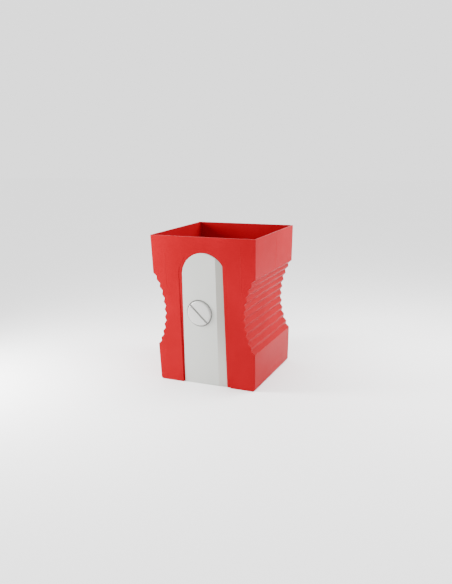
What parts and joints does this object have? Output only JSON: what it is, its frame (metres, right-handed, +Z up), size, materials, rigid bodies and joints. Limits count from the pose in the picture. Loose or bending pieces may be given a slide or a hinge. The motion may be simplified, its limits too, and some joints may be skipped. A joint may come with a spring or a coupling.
{
  "type": "waste bin",
  "caption": "Open square waste bin shaped like a giant pencil sharpener, with ribbed waisted sides, a blade panel on its front and a big slotted screw head.",
  "frame": {"origin": "centre of the underside, on the surface that the bin stands on", "axes": "+Z up, -Y out of the front with the blade panel, +X to the right seen from the front"},
  "size_m": [0.2214, 0.2214, 0.3],
  "materials": {
    "bin_plastic": "red moulded polypropylene, satin gloss",
    "panel_plastic": "light grey, fine satin",
    "screw_plastic": "light silver grey, satin"
  },
  "bodies": {
    "root": {"bin_body": "bin_plastic", "blade_panel": "panel_plastic", "screw_head": "screw_plastic"}
  },
  "joints": []
}
